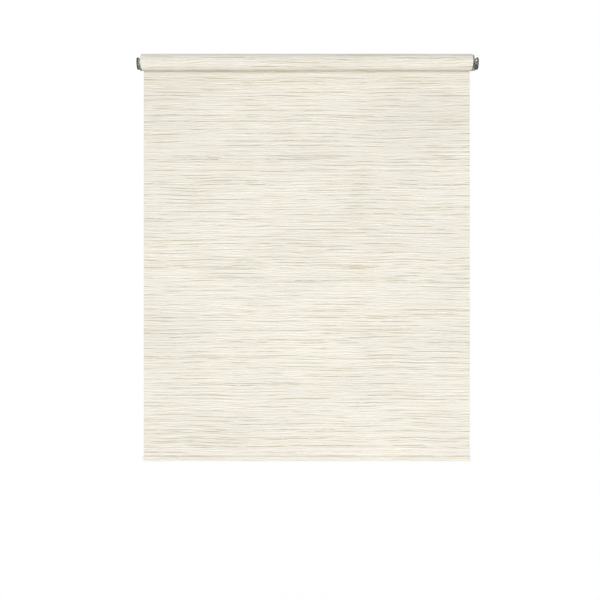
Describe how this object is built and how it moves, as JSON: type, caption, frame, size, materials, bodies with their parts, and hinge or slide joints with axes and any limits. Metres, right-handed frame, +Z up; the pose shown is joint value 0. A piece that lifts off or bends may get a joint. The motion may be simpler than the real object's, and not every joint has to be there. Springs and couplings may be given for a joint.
{
  "type": "roller shade",
  "caption": "Cordless spring roller shade of slub cloth on a tube, held by a slotted and a round-hole wall bracket, with a weighted hem.",
  "frame": {"origin": "centre of the four wall-screw holes, on the wall plane", "axes": "+X along the roller to the pin end, +Y into the wall, +Z up"},
  "size_m": [0.9484, 0.056, 1.1339],
  "materials": {
    "slub_cloth": "cream slub weave, matt",
    "nickel_plate": "bright nickel plate",
    "white_plastic": "moulded, satin",
    "tube_steel": "galvanised",
    "pressed_steel": "zinc plated",
    "spring_steel": "oiled wire",
    "dowel_wood": "plain turned",
    "grey_nylon": "dark, moulded",
    "adhesive_tape": "double-sided",
    "bar_aluminium": "mill"
  },
  "bodies": {
    "brackets": {"spear_bracket": "nickel_plate", "pin_bracket": "nickel_plate", "spring_spear": "nickel_plate", "spear_clip": "spring_steel", "ratchet_wheel": "pressed_steel", "spring_shaft": "dowel_wood", "shaft_anchor": "pressed_steel", "torsion_spring": "spring_steel"},
    "roller": {"roller_tube": "tube_steel", "fabric_tape": "adhesive_tape", "fabric_roll": "slub_cloth", "spring_end_cap": "white_plastic", "spear_bush": "grey_nylon", "pawl_pin_1": "pressed_steel", "pawl_pin_2": "pressed_steel", "tube_anchor": "grey_nylon", "shaft_bush": "grey_nylon", "pin_end_plug": "grey_nylon", "round_pin": "nickel_plate"},
    "first_pawl": {"pawl_1": "pressed_steel"},
    "second_pawl": {"pawl_2": "pressed_steel"},
    "rail": {"fabric_drop": "slub_cloth", "hem_bar": "bar_aluminium", "rail_cap_left": "white_plastic", "rail_cap_right": "white_plastic"}
  },
  "joints": [
    {"name": "roller_turn", "type": "hinge", "parent": "brackets", "child": "roller", "pos_m": [0, -0.03399, 0], "axis": [1, 0, 0], "range_deg": [-1530, 2790], "deforming": ["torsion_spring"]},
    {"name": "rail_travel", "type": "slide", "parent": "brackets", "child": "rail", "axis": [0, 0, 1], "range_m": [-0.5875, 1.0713], "deforming": ["fabric_drop"]},
    {"name": "pawl_1_swing", "type": "hinge", "parent": "roller", "child": "first_pawl", "pos_m": [0, -0.03399, 0.0128], "axis": [1, 0, 0], "range_deg": [0, 44]},
    {"name": "pawl_2_swing", "type": "hinge", "parent": "roller", "child": "second_pawl", "pos_m": [0, -0.03399, -0.0128], "axis": [1, 0, 0], "range_deg": [0, 44]}
  ],
  "couplings": [
    {"joint": "rail_travel", "follows": "roller_turn", "m_per_rad": 0.022}
  ]
}
